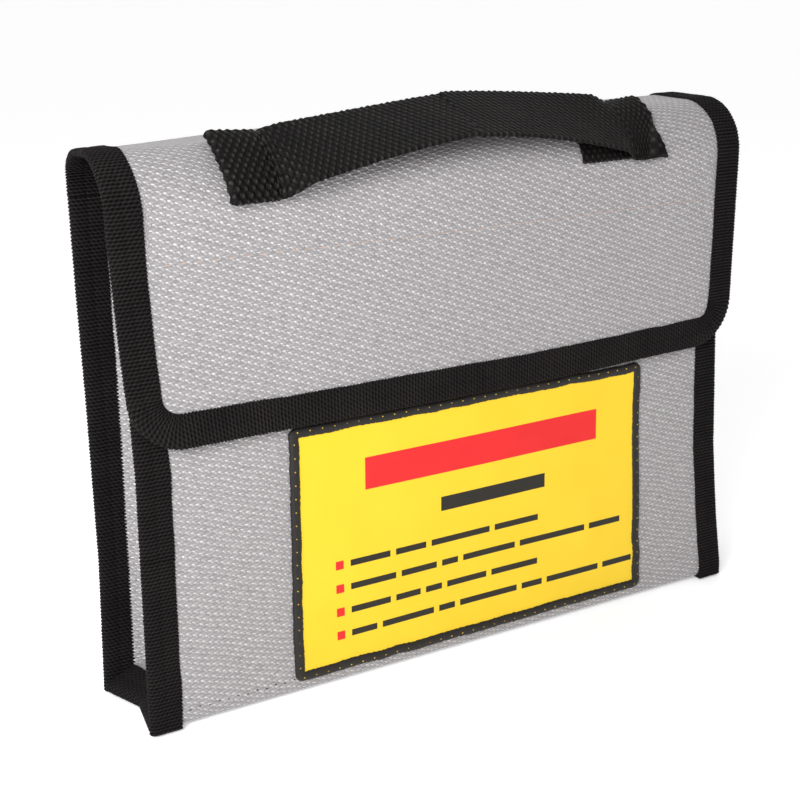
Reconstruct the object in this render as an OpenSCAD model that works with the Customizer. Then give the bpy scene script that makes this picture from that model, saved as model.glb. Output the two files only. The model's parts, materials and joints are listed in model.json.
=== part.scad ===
// Fire-resistant storage and charging bag for a battery pack.
// A document-style pouch of coated cloth: one long cloth strip makes the front,
// bottom, back and flap, two pleated gussets close the ends, and ribbed tape
// binds every raw edge. A webbing handle is sewn across the flap's front fold.
// Origin: middle of the underside. +X right, front towards -Y, +Z up. Millimetres.

/* [Bag] */
// Width over the bound side flanges
bag_w = 215; // [200:1:230]
// Depth over the outer faces of the front and back bindings
bag_d = 36; // [35:0.5:38]
// Height of the closed flap's top
bag_h = 165; // [160:1:170]
// Height of the mouth, where the front panel and gussets end
mouth_h = 145; // [140:1:146]

/* [Cloth and tape] */
// Thickness of the coated cloth
cloth_t = 1; // [0.8:0.1:1]
// Thickness of the binding tape
tape_t = 0.6; // [0.4:0.1:0.6]
// Visible width of the folded binding tape
tape_w = 10; // [8:0.5:11]
// Gap kept between pieces that move apart
gap = 0.3; // [0.2:0.05:0.4]

/* [Flap] */
// Distance from the middle of the bag to the flap's outer face in front
flap_out = 21; // [21:0.1:22]
// Radius of the flap's fold over the front
front_r = 16; // [15:0.5:17]
// Radius of the flap's fold at the back
back_r = 7; // [6:0.5:8]
// Height of the flap's lower edge
flap_low = 84; // [80:1:90]
// Radius of the flap's lower corners
corner_r = 15; // [12:1:18]
// Height of the line where the flap's front hangs from its top
fold_z = 146; // [144:1:147]
// Height of the line where the flap leaves the back panel
hinge_z = 156; // [153:1:157]

/* [Closure strips] */
// Height of the hook strip's upper seam
hook_top = 136; // [130:1:140]
// Height of the loop strip's lower edge
loop_low = 92; // [88:1:96]
// Thickness of each closure strip
strip_t = 1; // [0.8:0.1:1]

/* [Gussets] */
// Length of each half of the pleat, from flange to crease
pleat_l = 20; // [19:0.5:21]
// Distance from the middle of the bag to the pleat's hinge lines
pleat_y = 13.7; // [13:0.1:13.8]
// How far the bottom seam is drawn in at the middle of each end
notch = 4; // [2:0.5:6]

/* [Label] */
// Width of the label patch
label_w = 130; // [110:1:140]
// Height of the label patch
label_h = 77; // [60:1:77]
// Sideways place of the label's middle
label_x = 5.5; // [0:0.5:10]
// Height of the label's middle
label_z = 43.8; // [42:0.1:44]
// Width of the overlocked border
border_w = 3.1; // [2:0.1:4]

/* [Handle] */
// Width of the webbing
web_w = 25; // [20:1:26]
// Thickness of the webbing
web_t = 1.6; // [1.4:0.1:1.8]
// Distance from the middle to the seam that holds each end
seam_x = 60.5; // [58:0.5:64]
// Length of each sewn end
tab_l = 15; // [12:1:18]
// How far the right end's under layer runs on past its seam
tuck_l = 19; // [0:1:19]
// Half length of the free middle of the strap
strap_half = 40; // [36:1:42]
// Height of the strap's middle line at its highest
strap_z = 168.6; // [168:0.1:172]

/* [Hidden] */

$fn = 64;
silver = [0.74, 0.74, 0.75];
black = [0.09, 0.085, 0.085];
yellow = [1, 0.86, 0.12];
tan_thread = [0.78, 0.66, 0.58];

half_w = bag_w / 2;
half_d = bag_d / 2;
inner_w = half_w - tape_w;              // inner edge of the side flanges
cloth_w = half_w - tape_t;              // edge of the cloth inside the tape
panel_y = half_d - tape_t;              // outer face of the front and back cloth
seam_t = 2 * cloth_t + 2 * tape_t;      // flange: two cloths between two tapes
seam_y = half_d - seam_t;               // inner face of the side flanges
hem_t = cloth_t + 2 * tape_t;           // hem: one cloth between two tapes
base_clear = seam_t + gap;              // lowest height of what slides over the base seams
ramp_w = 3.5;                           // where the base cloth steps up into its seam
hinge_y = half_d + 0.2;                 // flap hinge line, just outside the back
fold_y = -flap_out - tape_t - 0.2;      // flap fold line, just outside the front
arc_y = front_r - flap_out;             // middle of the front fold
arc_z = bag_h - front_r;
back_arc_y = panel_y - back_r;          // middle of the back fold
back_arc_z = bag_h - back_r;
leaf_off = tape_t + 0.15;               // a pleat leaf's outer face from its hinge lines
pleat_x = inner_w - 0.5;                // hinge lines at the flanges, from the middle
pleat_a = acos(pleat_y / pleat_l);      // a leaf's angle from the depth direction
open_end = 1.6;                         // the front leaf stops this short of the front flange
label_t = 0.5;                          // thickness of the label's cloth
end_r = front_r + 1.5 * web_t + 0.2;    // the strap's ends, from the middle of the front fold
end_y = arc_y - end_r * cos(45);
end_z = arc_z + end_r * sin(45);
end_tilt = 45;
mid_y = -16.3;                          // the strap's highest stretch leans further back
mid_tilt = 24;

// Extrudes a (Y, Z) outline along X, from x0 to x1
module along_x(x0, x1) {
    translate([x0, 0, 0]) rotate([90, 0, 90]) linear_extrude(x1 - x0) children();
}

// Extrudes an (X, Z) outline along Y, from y0 to y1
module along_y(y0, y1) {
    translate([0, y1, 0]) rotate([90, 0, 0]) linear_extrude(y1 - y0) children();
}

// Mirrors its children to the left when side is -1
module on_side(side) {
    if (side < 0) mirror([1, 0, 0]) children();
    else children();
}

// ---- Body: back, bottom and their seams ----

module back_panel() {
    color(silver) translate([-cloth_w, panel_y - cloth_t, 0])
        cube([2 * cloth_w, cloth_t, hinge_z - gap]);
}

// The base's plan, drawn in at the middle of each end
module base_plan(edge) {
    polygon([
        [-edge, -seam_y], [notch - edge, 0], [-edge, seam_y],
        [-inner_w, seam_y], [-inner_w, panel_y - cloth_t],
        [inner_w, panel_y - cloth_t], [inner_w, seam_y],
        [edge, seam_y], [edge - notch, 0], [edge, -seam_y],
        [inner_w, -seam_y], [inner_w, -panel_y],
        [-inner_w, -panel_y], [-inner_w, -seam_y]
    ]);
}

module bottom_panel() {
    step = tape_t;
    color(silver) intersection() {
        along_y(-half_d, half_d) polygon([
            [-half_w, step], [-inner_w, step], [-inner_w + ramp_w, 0],
            [inner_w - ramp_w, 0], [inner_w, step], [half_w, step],
            [half_w, step + cloth_t], [inner_w, step + cloth_t],
            [inner_w - ramp_w, cloth_t], [-inner_w + ramp_w, cloth_t],
            [-inner_w, step + cloth_t], [-half_w, step + cloth_t]
        ]);
        linear_extrude(seam_t) base_plan(cloth_w);
    }
}

// Tape folded over an upright side flange, slotted for the panel's cloth
module side_tape(z0, z1) {
    translate([0, 0, z0]) linear_extrude(z1 - z0) difference() {
        translate([inner_w, seam_y]) square([tape_w, seam_t]);
        translate([inner_w - 1, panel_y - cloth_t]) square([tape_w + 1 - tape_t, cloth_t]);
    }
}

module back_binding(side) {
    color(black) on_side(side) side_tape(0, hinge_z - gap);
}

module bottom_binding(side) {
    color(black) on_side(side) difference() {
        linear_extrude(seam_t) polygon([
            [inner_w, -seam_y], [half_w, -seam_y], [half_w - notch, 0],
            [half_w, seam_y], [inner_w, seam_y], [inner_w - notch / 2, 0]
        ]);
        translate([0, 0, tape_t]) linear_extrude(cloth_t) polygon([
            [0, -seam_y - 1], [cloth_w, -seam_y - 1], [cloth_w, -seam_y],
            [cloth_w - notch, 0], [cloth_w, seam_y], [cloth_w, seam_y + 1], [0, seam_y + 1]
        ]);
        // The base cloth's step up into the seam stays clear of the tape
        translate([0, -seam_y - 1, 0]) cube([inner_w, bag_d, tape_t + cloth_t]);
    }
}

// ---- Front: panel, seams, loop strip and label ----

module front_panel() {
    full = inner_w - ramp_w - 0.5;
    color(silver) along_y(-panel_y, cloth_t - panel_y) polygon([
        [-cloth_w, base_clear], [-full, base_clear], [-full, cloth_t + gap],
        [full, cloth_t + gap], [full, base_clear], [cloth_w, base_clear],
        [cloth_w, mouth_h - tape_t], [-cloth_w, mouth_h - tape_t]
    ]);
}

module front_binding(side) {
    color(black) on_side(side) mirror([0, 1, 0]) side_tape(base_clear, mouth_h - tape_w);
}

// Hem tape over a straight edge that runs along X: y is the cloth's outer face
module mouth_tape(x0, x1, y) {
    along_x(x0, x1) difference() {
        translate([y - tape_t, mouth_h - tape_w]) square([hem_t, tape_w]);
        translate([y, mouth_h - tape_w - 1]) square([cloth_t, tape_w + 1 - tape_t]);
    }
}

module mouth_binding_front() {
    color(black) mouth_tape(-half_w, half_w, -panel_y);
}

module loop_strip() {
    color(black) along_y(-panel_y - strip_t, -panel_y)
        translate([gap - inner_w, loop_low])
            square([2 * (inner_w - gap), mouth_h - tape_w - 4 - loop_low]);
}

module label_plan(inset) {
    translate([label_x, label_z])
        square([label_w - 2 * inset, label_h - 2 * inset], center = true);
}

module label_patch() {
    color(yellow) along_y(-panel_y - label_t, -panel_y) label_plan(0.5);
}

module label_border() {
    color(black) difference() {
        along_y(-panel_y - label_t - 0.5, -panel_y) difference() {
            label_plan(0);
            label_plan(border_w);
        }
        along_y(-panel_y - label_t, -panel_y + 1) label_plan(0.5);
    }
}

// ---- Gussets: each pleat is two leaves, hinged at the back flange and the crease ----

// A slab in plan along its hinge-to-crease line, from start to end, at depths d0 to d1
module leaf_plan(start, end, d0, d1) {
    translate([start, d0]) square([end - start, d1 - d0]);
}

// Puts a leaf drawn along +X in place on the right; back is 1 for the rear leaf, -1 for the front
module place_leaf(back) {
    mirror([0, back > 0 ? 0 : 1, 0]) translate([pleat_x, pleat_y, 0])
        rotate(-90 - pleat_a) mirror([0, 1, 0]) children();
}

module leaf(back) {
    first = back > 0 ? 0 : open_end;
    translate([0, 0, base_clear]) linear_extrude(mouth_h - tape_t - base_clear)
        place_leaf(back) leaf_plan(first, pleat_l - 0.4, leaf_off, leaf_off + cloth_t);
}

module leaf_tape(back) {
    first = back > 0 ? 0.6 : open_end + 1.8;
    difference() {
        translate([0, 0, mouth_h - tape_w]) linear_extrude(tape_w) place_leaf(back)
            leaf_plan(first, pleat_l - 1, leaf_off - tape_t, leaf_off + cloth_t + tape_t);
        translate([0, 0, mouth_h - tape_w - 1]) linear_extrude(tape_w + 1 - tape_t)
            place_leaf(back) leaf_plan(-1, pleat_l, leaf_off, leaf_off + cloth_t);
    }
}

module gusset(side, back) {
    color(silver) on_side(side) leaf(back);
}

module mouth_binding(side, back) {
    color(black) on_side(side) leaf_tape(back);
}

// ---- Flap: top, front, bindings and hook strip ----

// The filled side outline under the flap, grown by o past the cloth's outer face
module flap_fill(o) {
    translate([arc_y, arc_z]) circle(front_r + o);
    translate([back_arc_y, back_arc_z]) circle(back_r + o);
    translate([arc_y, 0]) square([back_arc_y - arc_y, bag_h + o]);
    translate([arc_y - front_r - o, 0]) square([front_r + o, arc_z]);
    translate([back_arc_y, 0]) square([back_r + o, back_arc_z]);
}

// The flap top's side section between two offsets from the cloth's outer face
module flap_band(outer, inner) {
    intersection() {
        difference() {
            flap_fill(outer);
            flap_fill(inner);
        }
        union() {
            translate([-flap_out - 5, fold_z + gap]) square([flap_out + 5, bag_h]);
            translate([-1, hinge_z + gap]) square([half_d + 5, bag_h]);
        }
    }
}

module flap_top() {
    color(silver) along_x(-cloth_w, cloth_w) flap_band(0, -cloth_t);
}

module flap_binding_top(side) {
    color(black) on_side(side) difference() {
        along_x(inner_w, half_w) flap_band(tape_t, -cloth_t - tape_t);
        along_x(inner_w - 1, cloth_w) flap_band(0, -cloth_t);
    }
}

// The flap's front outline with rounded lower corners, drawn in by inset
module flap_outline(inset) {
    r = corner_r - inset;
    low = flap_low + inset;
    side = half_w - inset;
    translate([-side, low + r]) square([2 * side, fold_z - gap - low - r]);
    translate([r - side, low]) square([2 * (side - r), r + 1]);
    for (s = [-1, 1]) translate([s * (side - r), low + r]) circle(r);
}

module flap_front() {
    color(silver) along_y(-flap_out, cloth_t - flap_out) flap_outline(tape_t);
}

module flap_binding_front() {
    color(black) difference() {
        along_y(-flap_out - tape_t, hem_t - tape_t - flap_out) difference() {
            flap_outline(0);
            flap_outline(tape_w);
        }
        along_y(-flap_out, cloth_t - flap_out) flap_outline(tape_t);
    }
}

module hook_strip() {
    color(black) along_y(cloth_t - flap_out, cloth_t - flap_out + strip_t) intersection() {
        flap_outline(tape_w + gap);
        translate([-half_w, 0]) square([bag_w, hook_top]);
    }
}

module hook_seam_thread() {
    pitch = 4.4;
    stitch = [3, 0.25, 0.45];
    count = floor((inner_w - 3) / pitch);
    color(tan_thread) for (i = [-count:count])
        translate([i * pitch - stitch.x / 2, -flap_out - stitch.y, hook_top - 1.5]) cube(stitch);
}

// ---- Handle: two sewn ends, two necks and the free strap ----

// A ring about the front fold, from radius r0 to r1, as wide as the webbing
module wrapped_web(r0, r1) {
    spread = web_w / 2 / (front_r + web_t) * 180 / PI;
    far = 2 * front_r;
    translate([arc_y, arc_z]) intersection() {
        difference() {
            circle(r1);
            circle(r0);
        }
        polygon([
            [0, 0],
            [far * cos(135 - spread), far * sin(135 - spread)],
            [far * cos(135), far * sin(135)] * 1.4,
            [far * cos(135 + spread), far * sin(135 + spread)]
        ]);
    }
}

module handle_tab(side) {
    outer = seam_x + tab_l;
    color(black) on_side(side) {
        along_x(seam_x, outer) wrapped_web(front_r, front_r + 2 * web_t);
        if (side > 0) along_x(seam_x - tuck_l, seam_x) wrapped_web(front_r, front_r + web_t);
    }
}

module handle_seam_thread() {
    stitch = [0.5, 1.8, 0.3];
    color(black) for (s = [-1, 1], row = [2, 4], a = [-32:8:32])
        translate([s * (seam_x + row), arc_y, arc_z]) rotate([45 + a, 0, 0])
            translate([-stitch.x / 2, -stitch.y / 2, front_r + 2 * web_t]) cube(stitch);
}

// The strap's cross-section at x: four corners of the webbing, turned to lie along the arch
function share(x) = pow(x / seam_x, 2);
function strap_y(x) = mid_y + (end_y - mid_y) * share(x);
function strap_mid_z(x) = strap_z + (end_z - strap_z) * share(x);
function strap_tilt(x) = mid_tilt + (end_tilt - mid_tilt) * share(x);
function strap_ring(x) = [
    for (c = [[-1, -1], [1, -1], [1, 1], [-1, 1]])
        let (u = c.x * web_w / 2, v = c.y * web_t / 2, t = strap_tilt(x))
            [x, strap_y(x) + u * cos(t) - v * sin(t), strap_mid_z(x) + u * sin(t) + v * cos(t)]
];

// Webbing swept along the arch from x0 to x1 in n steps
module webbing(x0, x1, n) {
    points = [for (i = [0:n], p = strap_ring(x0 + (x1 - x0) * i / n)) p];
    sides = [for (i = [0:n - 1], k = [0:3])
        [4 * i + k, 4 * i + (k + 1) % 4, 4 * i + 4 + (k + 1) % 4, 4 * i + 4 + k]];
    halves = [for (f = sides) each [[f[0], f[2], f[1]], [f[0], f[3], f[2]]]];
    ends = [[0, 1, 2], [0, 2, 3], [4 * n, 4 * n + 2, 4 * n + 1], [4 * n, 4 * n + 3, 4 * n + 2]];
    polyhedron(points, concat(halves, ends));
}

module handle_strap() {
    color(black) webbing(-strap_half, strap_half, 24);
}

module handle_neck(side) {
    near = strap_half + gap;
    color(black)
        if (side < 0) webbing(-seam_x, -near, 8);
        else webbing(near, seam_x, 8);
}

back_panel();
bottom_panel();
back_binding(-1);  // back_binding_left
back_binding(1);  // back_binding_right
bottom_binding(-1);  // bottom_binding_left
bottom_binding(1);  // bottom_binding_right
front_panel();
front_binding(-1);  // front_binding_left
front_binding(1);  // front_binding_right
mouth_binding_front();
loop_strip();
label_patch();
label_border();
gusset(-1, 1);  // gusset_left_rear
gusset(-1, -1);  // gusset_left_front
gusset(1, 1);  // gusset_right_rear
gusset(1, -1);  // gusset_right_front
mouth_binding(-1, 1);  // mouth_binding_left_rear
mouth_binding(-1, -1);  // mouth_binding_left_front
mouth_binding(1, 1);  // mouth_binding_right_rear
mouth_binding(1, -1);  // mouth_binding_right_front
flap_top();
flap_binding_top(-1);  // flap_binding_top_left
flap_binding_top(1);  // flap_binding_top_right
handle_tab(-1);  // handle_tab_left
handle_tab(1);  // handle_tab_right
handle_neck(-1);  // handle_neck_left
handle_neck(1);  // handle_neck_right
handle_seam_thread();
flap_front();
flap_binding_front();
hook_strip();
hook_seam_thread();
handle_strap();
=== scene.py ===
"""Looks for a flat, fire-resistant battery bag: coated cloth, ribbed binding tape, webbing and a label.

Lengths in this file are millimetres in the row frame, and become metres where a mesh is made.
"""
import json
import math

import bpy
import bmesh
import numpy as np
from mathutils import Matrix, Vector


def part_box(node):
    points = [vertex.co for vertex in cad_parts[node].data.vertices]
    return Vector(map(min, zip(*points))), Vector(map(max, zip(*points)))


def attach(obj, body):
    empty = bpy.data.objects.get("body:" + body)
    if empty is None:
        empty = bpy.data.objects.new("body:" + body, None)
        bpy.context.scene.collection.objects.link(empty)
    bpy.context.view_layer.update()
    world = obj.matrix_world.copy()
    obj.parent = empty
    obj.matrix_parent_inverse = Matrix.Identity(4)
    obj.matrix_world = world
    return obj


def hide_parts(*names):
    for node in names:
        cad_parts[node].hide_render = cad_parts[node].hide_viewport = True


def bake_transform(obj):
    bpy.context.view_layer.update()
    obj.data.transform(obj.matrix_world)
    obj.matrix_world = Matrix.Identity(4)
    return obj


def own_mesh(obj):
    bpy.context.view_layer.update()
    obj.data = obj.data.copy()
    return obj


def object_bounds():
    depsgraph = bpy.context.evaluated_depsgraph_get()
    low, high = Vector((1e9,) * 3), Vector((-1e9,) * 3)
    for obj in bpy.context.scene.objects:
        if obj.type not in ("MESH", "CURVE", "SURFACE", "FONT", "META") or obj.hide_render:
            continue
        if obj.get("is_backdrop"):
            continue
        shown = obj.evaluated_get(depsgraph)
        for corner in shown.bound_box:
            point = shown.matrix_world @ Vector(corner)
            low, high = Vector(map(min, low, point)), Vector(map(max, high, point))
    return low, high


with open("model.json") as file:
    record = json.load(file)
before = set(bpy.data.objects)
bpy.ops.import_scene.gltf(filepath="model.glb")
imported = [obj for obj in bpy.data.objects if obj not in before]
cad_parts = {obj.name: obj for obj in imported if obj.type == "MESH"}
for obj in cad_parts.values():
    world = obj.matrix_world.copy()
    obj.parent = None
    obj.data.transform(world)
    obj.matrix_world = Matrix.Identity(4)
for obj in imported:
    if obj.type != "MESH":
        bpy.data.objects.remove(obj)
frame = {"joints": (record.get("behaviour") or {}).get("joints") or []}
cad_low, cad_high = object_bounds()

MM = 0.001
QUARTER = math.pi / 2
JOINTS = {j["name"]: j for j in frame["joints"]}


def corner(node, high):
    """Lowest (0) or highest (1) corner of a CAD node, in millimetres."""
    return np.array(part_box(node)[high]) / MM


def anchor(joint):
    return np.array(JOINTS[joint]["pos_m"]) / MM


# ---- Places and sizes from the frame ----
INNER_W, flange_back, _ = corner("back_binding_right", 0)
HALF_W, flange_face, _ = corner("back_binding_right", 1)
FLANGE_T = flange_face - flange_back
CLOTH_W, BACK_Y, _ = corner("back_panel", 1)
FRONT_Y = corner("front_panel", 0)[1]
MOUTH_Z = corner("mouth_binding_front", 1)[2]
FLAP_Y = corner("flap_front", 0)[1]
TOP_Z = corner("flap_top", 1)[2]
FLAP_LOW = corner("flap_binding_front", 0)[2]
HEM_T = corner("flap_binding_front", 1)[1] - corner("flap_binding_front", 0)[1]
LABEL_LOW = corner("label_border", 0) - [1.1, 0, 1.0]      # the border's rope bulges past its seam
LABEL_HIGH = corner("label_border", 1) + [1.1, 0, 1.0]
LOOP_LOW, LOOP_HIGH = corner("loop_strip", 0), corner("loop_strip", 1)
HOOK_HIGH = corner("hook_strip", 1)
THREAD_Z = (corner("hook_seam_thread", 0)[2] + corner("hook_seam_thread", 1)[2]) / 2
REAR_HINGE = anchor("left_rear_fold")
CREASE = anchor("left_crease")
HINGE = anchor("flap_hinge")
FOLD = anchor("flap_fold")
STRAP_HALF = corner("handle_strap", 1)[0]
TAB_END = corner("handle_tab_left", 1)[0]
TAB_OUT = -corner("handle_tab_left", 0)[0]
TUCK_X = corner("handle_tab_right", 0)[0]
SEAM_X = -TAB_END

TAPE_W = HALF_W - INNER_W
CLOTH_T = 1.0
FRONT_R = 16.0      # the flap's fold over the front
BACK_R = 7.0        # the flap's fold at the back
BASE_R = 4.0        # the soft folds along the bottom
CORNER_R = 15.0     # the flap's lower corners
LABEL_R = 2.6       # the label's corners
SPLIT_Z = 150.0     # height where the back cloth hands over to the flap's hinge piece
SPLIT_Y = 2.0       # where the flap's two pieces meet on top
RIB = 1.05          # pitch of the tape's ribs
WEB_T = 1.5         # thickness of the webbing
WEB_GRID = 0.43     # spacing of the webbing's mesh
CLOTH_GRID = 3.2    # spacing of the cloth's mesh
HEM_GAP = 0.6       # from a bound edge to the cloth's raw edge inside it
SIDES = ((-1, "left"), (1, "right"))


def smooth(x, low, high):
    """0 below low, 1 above high, and an even ramp between."""
    t = np.clip((np.asarray(x, float) - low) / (high - low), 0, 1)
    return t * t * (3 - 2 * t)


def points(x, y, z):
    return np.stack(np.broadcast_arrays(x, y, z), -1).astype(float)


def evenly(low, high, spacing):
    return np.linspace(low, high, max(2, int(round((high - low) / spacing)) + 1))


def steps(line):
    """Length of every step along a polyline."""
    return np.linalg.norm(np.diff(line, axis=0), axis=-1)


def distances(line):
    """Distance of every point from the start of a polyline."""
    return np.concatenate([[0], np.cumsum(steps(line))])


def unit(v):
    return v / np.linalg.norm(v, axis=-1, keepdims=True)


def left_of(v):
    """Flat vectors turned a quarter turn to the left."""
    return np.stack([-v[:, 1], v[:, 0]], -1)


def tuck(t):
    """How far a quarter circle has drawn in, from 0 to 1, as t goes from 0 to 1."""
    return 1 - np.sqrt(np.clip(1 - t * t, 0, 1))


# ---- The bag's soft shape: how each surface leans and sags away from the plain frame ----
def ripple(a, b, size=0.3):
    """A slow, shallow unevenness of the cloth."""
    return size * (np.sin(a / 23 + b / 31 + 0.6) * np.sin(b / 27 - a / 53 + 1.9)
                   + 0.6 * np.sin(a / 13 - b / 41 + 2.2) * np.sin(b / 17 + 0.8))


def pull_front(p, share=1.0, spread=1.0):
    """Moves points as the front does: its left top leans back, its right edge splays out below."""
    x, z = p[..., 0], p[..., 2]
    lean = np.interp(z, [76, 93, 112, 145], [0, 1.7, 3.0, 3.6]) * (1 - smooth(x, -HALF_W, 30))
    splay = np.interp(z, [0, 5, 23, 37, 49, 86, 150], [3.2, 3.0, 0.3, -1.2, -2.4, -3.8, -4.0])
    splay = np.where(splay > 0, 0.5 + 0.5 * spread, spread) * splay
    moved = p.copy()
    moved[..., 1] += share * lean
    moved[..., 0] += share * splay * smooth(x, 40, HALF_W)
    return moved


def pull_back(p):
    """Moves points as the back's left edge does: it bows in below and leans out above."""
    moved = p.copy()
    bow = np.interp(p[..., 2], [0, 42, 91, 121, 154], [0.1, 0.9, 0.1, -0.7, -1.3])
    moved[..., 0] += bow * (1 - smooth(p[..., 0], -HALF_W, -50))
    return moved


def pull_flap(p):
    """Moves points as the flap does: its left front leans back and overhangs the front's edge, its
    left back corner droops, and its right edge is drawn in and up."""
    x, y, z = p[..., 0], p[..., 1], p[..., 2]
    depth = smooth(-y, -BACK_Y, -FLAP_Y - 4)
    left, right = 1 - smooth(x, -HALF_W, 10), smooth(x, 20, HALF_W)
    lean = np.interp(z, [84, 94, 112, 144, 165], [0.9, 2.0, 3.7, 4.8, 4.8])
    over = np.interp(z, [84, 94, 144, 165], [0.9, 1.9, 4.2, 4.6])
    moved = p.copy()
    moved[..., 1] += depth * lean * left
    moved[..., 0] -= (depth * over + 1.3 * (1 - depth)) * (1 - smooth(x, -HALF_W, -55))
    drawn = np.interp(z, [84, 100, 150, 165], [2.4, 1.9, 0.8, 0.5])
    moved[..., 0] -= depth * drawn * smooth(x, 45, HALF_W)
    moved[..., 2] -= 2.1 * (1 - smooth(x, -HALF_W, -52)) * smooth(z, 151, 163) * (1 - depth)
    moved[..., 2] += depth * 1.8 * right * (1 - smooth(z, 90, 135))
    return moved


def front_at(x, z, out):
    """A point out mm proud of the front cloth's outer face."""
    wave = ripple(x, z) * smooth(HALF_W - np.abs(x), 8, 45) * smooth(z, 4, 18)
    return pull_front(points(x, FRONT_Y - out + wave, z))


def back_at(x, z, out):
    """A point out mm proud of the back cloth's outer face."""
    inside = smooth(HALF_W - np.abs(x), 4, 22) * smooth(SPLIT_Z - z, 0, 20) * smooth(z, 4, 18)
    wave = ripple(x + 40, z, 0.35) * inside
    return pull_back(points(x, BACK_Y + out - np.abs(wave), z))


FLAP_RUNS = np.cumsum([0, TOP_Z - BACK_R - SPLIT_Z, BACK_R * QUARTER,
                       (BACK_Y - BACK_R) - (FLAP_Y + FRONT_R), FRONT_R * QUARTER,
                       TOP_Z - FRONT_R - FLAP_LOW])
TOP_MEET = FLAP_RUNS[2] + (BACK_Y - BACK_R) - SPLIT_Y     # the flap's two pieces meet here


def flap_section(s):
    """Side view of the flap's outer face: y, z and the outward angle at s mm from its back edge."""
    s = np.asarray(s, float)
    back_c, front_c = BACK_Y - BACK_R, FLAP_Y + FRONT_R
    a = np.clip((s - FLAP_RUNS[1]) / BACK_R, 0, QUARTER)
    b = np.clip((s - FLAP_RUNS[3]) / FRONT_R, 0, QUARTER)
    angle = a + b
    rise = np.clip(s, 0, FLAP_RUNS[1])
    flat = np.clip(s - FLAP_RUNS[2], 0, back_c - front_c)
    fall = np.clip(s - FLAP_RUNS[4], 0, None)
    y = back_c + BACK_R * np.cos(a) - flat + FRONT_R * np.cos(QUARTER + b)
    z = SPLIT_Z + rise + BACK_R * np.sin(a) - FRONT_R * (1 - np.cos(b)) - fall
    return y, z, angle


def flap_z(z):
    """Distance along the flap at which its front hangs at height z."""
    return FLAP_RUNS[4] + TOP_Z - FRONT_R - z


def flap_dent(x, angle):
    """How far the sewn handle ends press the front fold flat."""
    over = np.exp(-((np.abs(x) - 67) / 13) ** 2) * 2.5 + 0.6 * np.exp(-(x / 40) ** 2)
    return over * np.exp(-((np.degrees(angle) - 135) / 32) ** 2)


def flap_sag(x, s):
    """A shallow hollow in the flap's top, behind the handle."""
    return 2.3 * np.exp(-(x / 48) ** 2) * np.exp(-((s - FLAP_RUNS[3] + 3) / 8) ** 2)


def flap_at(x, s, out):
    """A point out mm proud of the flap's outer face, s mm along the flap."""
    y, z, angle = flap_section(s)
    wave = ripple(x - 30, s, 0.32) * smooth(HALF_W - np.abs(x), 6, 26) * smooth(s, 14, 30)
    wave = wave * smooth(flap_z(FLAP_LOW) - s, 4, 22)
    off = out - flap_dent(x, angle) - flap_sag(x, s) + wave
    return pull_flap(points(x, y + off * np.cos(angle), z + off * np.sin(angle)))


# ---- Mesh makers ----
def add(name, data):
    obj = bpy.data.objects.new(name, data)
    bpy.context.scene.collection.objects.link(obj)
    return obj


def piece(name, verts, faces, corner_uv, sharp=40):
    """An object of the given points (mm) and faces; corner_uv (mm) places the weave on it."""
    mesh = bpy.data.meshes.new(name)
    mesh.from_pydata((np.asarray(verts) * MM).tolist(), [], faces)
    layer = mesh.uv_layers.new(name="weave")
    layer.data.foreach_set("uv", (np.array(corner_uv, float) * MM).astype(np.float32).ravel())
    build = bmesh.new()
    build.from_mesh(mesh)
    bmesh.ops.recalc_face_normals(build, faces=build.faces)
    build.to_mesh(mesh)
    build.free()
    mesh.polygons.foreach_set("use_smooth", [True] * len(mesh.polygons))
    mesh.set_sharp_from_angle(angle=math.radians(sharp))
    return add(name, mesh)


def loft(name, rings, u, v, sharp=40):
    """A closed skin through rings of points, (n, m, 3); u has m + 1 values round a ring, v has n along."""
    n, m = rings.shape[:2]
    i, j = np.meshgrid(np.arange(n - 1), np.arange(m), indexing="ij")
    i, j = i.ravel(), j.ravel()
    k = (j + 1) % m
    faces = np.stack([i * m + j, i * m + k, (i + 1) * m + k, (i + 1) * m + j], -1).tolist()
    u, v = np.asarray(u, float), np.asarray(v, float)
    uv = np.stack([u[j], v[i], u[j + 1], v[i], u[j + 1], v[i + 1], u[j], v[i + 1]], -1).reshape(-1, 2)
    caps, cap_uv = [], []
    for row, start in ((0, 0), (n - 1, (n - 1) * m)):
        for q in range(m // 2 - 1):
            around = [q, q + 1, m - 2 - q, m - 1 - q]
            caps.append([start + a for a in around])
            cap_uv += [(u[a], v[row] + (0.3 if a >= m // 2 else 0)) for a in around]
    return piece(name, rings.reshape(-1, 3), faces + caps, np.concatenate([uv, np.array(cap_uv)]), sharp)


def slab(name, x, s, place, thick, top=0.0, v=None):
    """Cloth of a given thickness over the grid x by s, whose points come from place(x, s, out)."""
    x, s = np.asarray(x, float), np.asarray(s, float)
    grid_s, grid_x = np.meshgrid(s, x, indexing="ij")
    outer, inner = place(grid_x, grid_s, top), place(grid_x, grid_s, top - thick)
    rings = np.concatenate([outer, inner[:, ::-1]], 1)
    return loft(name, rings, np.concatenate([x, x[::-1], x[:1]]), s if v is None else v)


def resample(line, spacing):
    """Points evenly spaced along a polyline, with the distance of each."""
    line = np.asarray(line, float)
    run = distances(line)
    at = evenly(0, run[-1], spacing)
    return np.stack([np.interp(at, run, line[:, k]) for k in range(line.shape[1])], -1), at


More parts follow.
